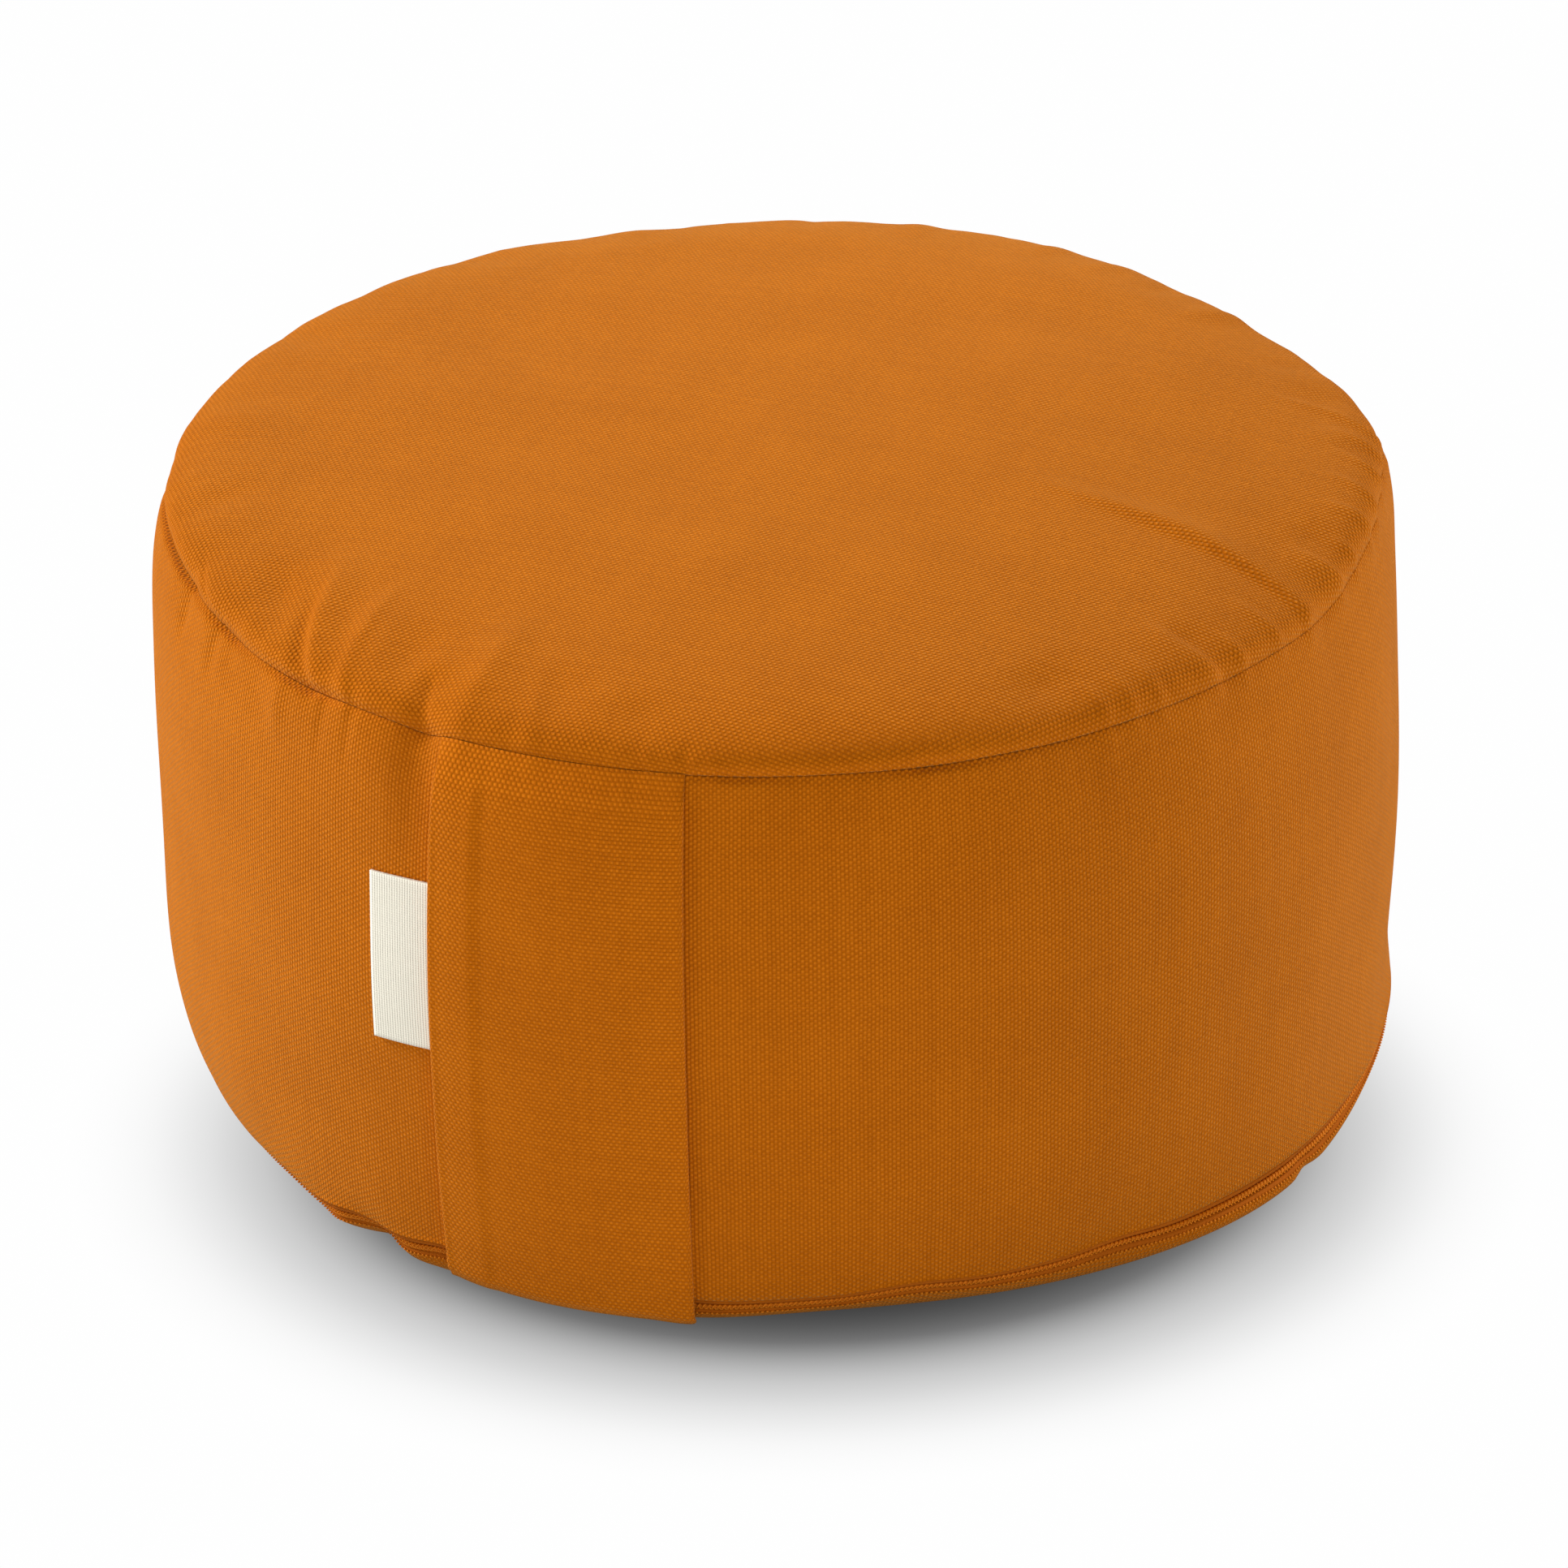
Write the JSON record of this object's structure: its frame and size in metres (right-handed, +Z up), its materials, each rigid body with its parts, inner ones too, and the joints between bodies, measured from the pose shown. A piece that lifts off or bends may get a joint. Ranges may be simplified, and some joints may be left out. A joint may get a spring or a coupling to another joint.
{
  "type": "zafu meditation cushion",
  "caption": "Round filled floor cushion in cotton canvas, with a crowned top, flat carry band, bare woven label and a zip round its foot.",
  "frame": {"origin": "on the surface the cushion stands on, under the middle of its underside", "axes": "+Z up through the crown; the carry band faces -Y and +X is to its right as seen from the front"},
  "size_m": [0.3332, 0.3393, 0.175],
  "materials": {
    "wall_canvas": "matte plain-weave cotton canvas, orange",
    "panel_canvas": "matte plain-weave cotton canvas, orange",
    "band_canvas": "matte cotton canvas folded double, orange",
    "label_weave": "ribbed woven tape, cream",
    "zip_tape": "fine woven zip tape, orange",
    "zip_coil": "satin nylon coil, orange"
  },
  "bodies": {
    "root": {"cushion_body": "wall_canvas", "top_panel": "panel_canvas", "bottom_panel": "panel_canvas", "carry_band": "band_canvas", "woven_label": "label_weave", "zip_tape": "zip_tape", "zip_coil": "zip_coil"}
  },
  "joints": []
}
